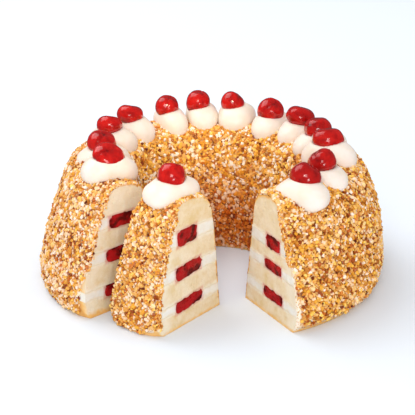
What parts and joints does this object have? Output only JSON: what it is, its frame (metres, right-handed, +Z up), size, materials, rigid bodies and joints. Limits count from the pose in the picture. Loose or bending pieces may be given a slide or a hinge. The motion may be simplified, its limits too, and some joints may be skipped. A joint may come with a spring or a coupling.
{
  "type": "ring cake",
  "caption": "Tall ring cake of sponge layers with cream and cherry filling, coated with nut brittle and topped with piped cream and cherries, cut open with a slice in the gap",
  "frame": {"origin": "on the floor, in the middle of the footprint's box", "axes": "+X to the right of the side that is cut open, +Y to the back, +Z up; the cut opens towards -Y"},
  "size_m": [0.2468, 0.2354, 0.1131],
  "materials": {
    "sponge": "fine open crumb",
    "cream": "smooth satin",
    "filling": "moist gloss",
    "brittle": "glassy chips",
    "cherry": "wet gloss"
  },
  "bodies": {
    "root": {"ring_sponge_1": "sponge", "ring_sponge_2": "sponge", "ring_sponge_3": "sponge", "ring_sponge_4": "sponge", "ring_cream_1": "cream", "ring_cream_2": "cream", "ring_cream_3": "cream", "ring_filling_1": "filling", "ring_filling_2": "filling", "ring_filling_3": "filling", "ring_brittle_coat": "brittle", "dollop_01": "cream", "dollop_02": "cream", "dollop_03": "cream", "dollop_04": "cream", "dollop_05": "cream", "dollop_06": "cream", "dollop_07": "cream", "dollop_08": "cream", "dollop_09": "cream", "dollop_10": "cream", "dollop_11": "cream", "dollop_12": "cream", "dollop_13": "cream", "cherry_01": "cherry", "cherry_02": "cherry", "cherry_03": "cherry", "cherry_04": "cherry", "cherry_05": "cherry", "cherry_06": "cherry", "cherry_07": "cherry", "cherry_08": "cherry", "cherry_09": "cherry", "cherry_10": "cherry", "cherry_11": "cherry", "cherry_12": "cherry", "cherry_13": "cherry", "slice_sponge_1": "sponge", "slice_sponge_2": "sponge", "slice_sponge_3": "sponge", "slice_sponge_4": "sponge", "slice_cream_1": "cream", "slice_cream_2": "cream", "slice_cream_3": "cream", "slice_filling_1": "filling", "slice_filling_2": "filling", "slice_filling_3": "filling", "slice_brittle_coat": "brittle", "slice_dollop": "cream", "slice_cherry": "cherry"}
  },
  "joints": []
}
